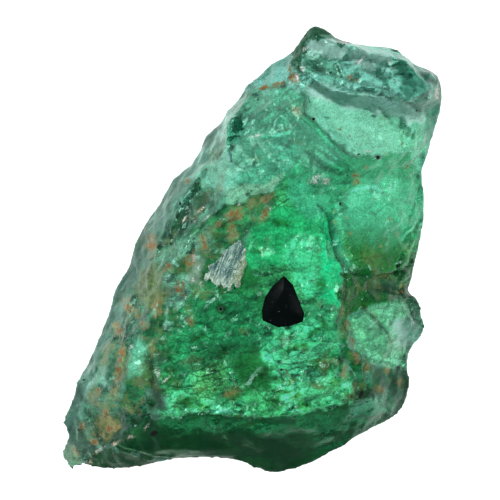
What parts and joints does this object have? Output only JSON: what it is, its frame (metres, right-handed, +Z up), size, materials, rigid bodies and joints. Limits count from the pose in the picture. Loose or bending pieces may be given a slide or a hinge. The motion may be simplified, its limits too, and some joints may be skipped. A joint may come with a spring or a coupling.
{
  "type": "rough emerald",
  "caption": "Broken lump of rough, see-through green emerald with a black crystal and a mica flake in its front, lying on its flat side.",
  "frame": {"origin": "under the middle of the stone, on the flat face that it lies on", "axes": "+Z up, out of the front of the stone; +Y towards its narrow, crowned end; +X towards its scalloped side"},
  "size_m": [0.0276, 0.032, 0.0124],
  "materials": {
    "emerald": "broken, uneven gloss",
    "black_crystal": "glossy, faceted",
    "mica": "pearly, torn"
  },
  "bodies": {
    "root": {"emerald": "emerald", "black_crystal": "black_crystal", "mica_flake": "mica"}
  },
  "joints": []
}
